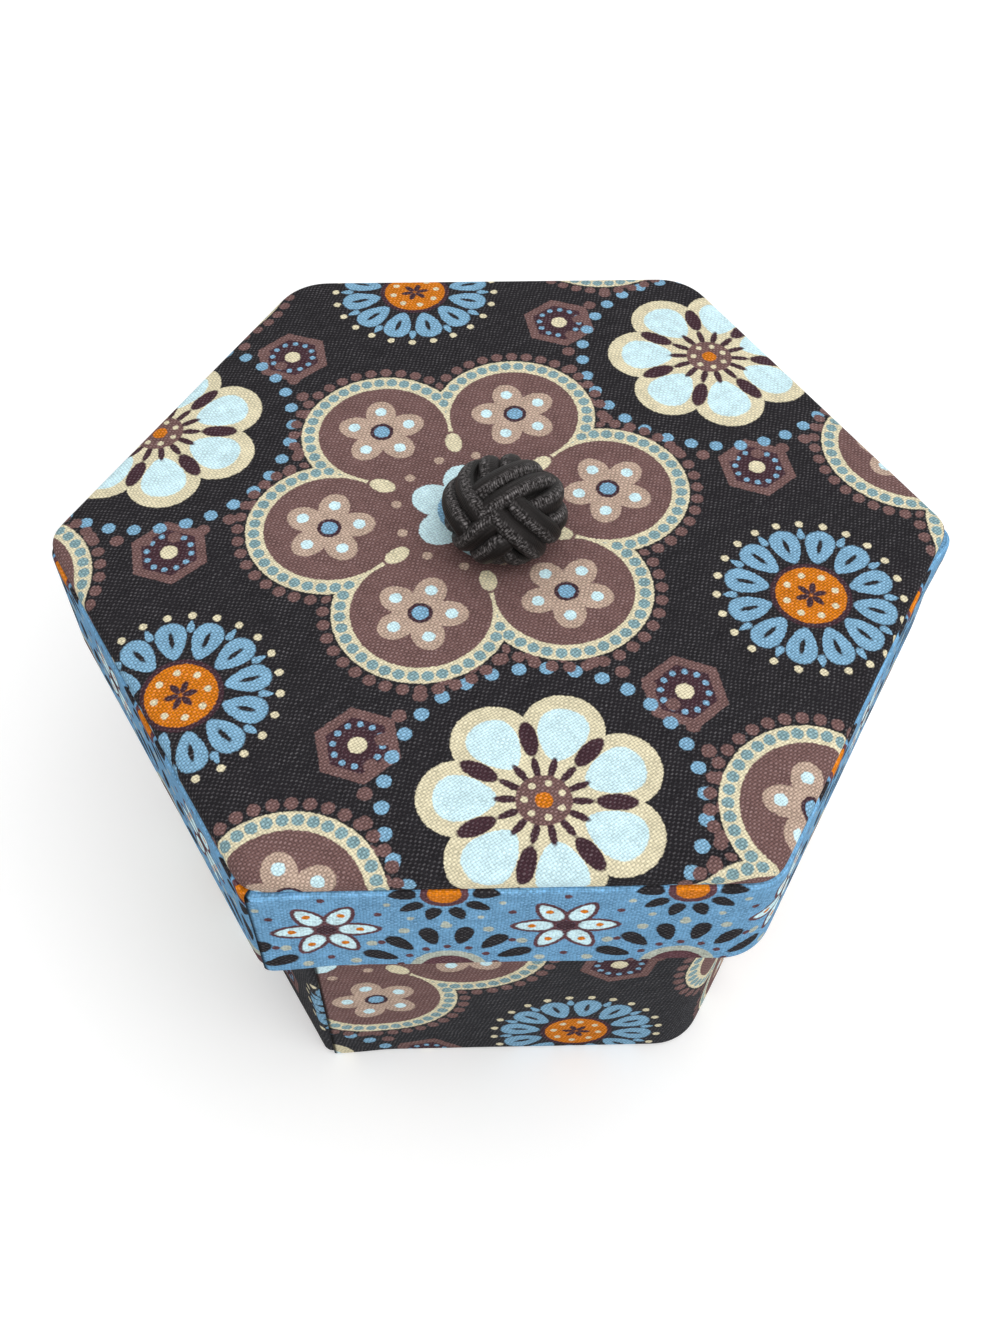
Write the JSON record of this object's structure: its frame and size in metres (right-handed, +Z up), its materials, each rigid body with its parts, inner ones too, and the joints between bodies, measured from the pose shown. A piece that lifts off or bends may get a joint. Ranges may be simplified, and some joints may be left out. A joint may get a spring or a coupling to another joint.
{
  "type": "keepsake box",
  "caption": "Hexagonal cloth-covered keepsake box with a lift-off padded lid and a knotted cord button",
  "frame": {"origin": "centre of the underside, on the surface that the box stands on", "axes": "+Z up, X from corner to corner, -Y out of the flat side in front, whose left corner carries the seams"},
  "size_m": [0.1258, 0.11, 0.0817],
  "materials": {
    "dark_print": "printed plain-weave cotton, dark ground",
    "blue_print": "printed plain-weave cotton, mid blue ground",
    "lining_cloth": "plain cotton lining",
    "braided_cord": "braided cord with a soft sheen",
    "board": "greyboard",
    "gummed_paper": "brown gummed paper",
    "wadding": "white wadding"
  },
  "bodies": {
    "box": {"base_sheet": "dark_print", "bottom_board": "board", "wall_strip": "board", "wall_joint_tape": "gummed_paper", "wall_cover": "dark_print", "wall_lining": "lining_cloth", "floor_card": "board", "floor_wadding": "wadding", "floor_lining": "lining_cloth"},
    "lid": {"lid_lining": "lining_cloth", "lid_lining_card": "board", "tail_patch": "gummed_paper", "lid_board": "board", "rim_strip": "board", "rim_joint_tape": "gummed_paper", "rim_cover": "blue_print", "rim_lining": "lining_cloth", "top_card": "board", "top_wadding": "wadding", "top_cover": "dark_print", "button_knot": "braided_cord"}
  },
  "joints": [
    {"name": "lid_lift", "type": "slide", "parent": "box", "child": "lid", "axis": [0, 0, 1], "range_m": [0, 0.08]}
  ]
}
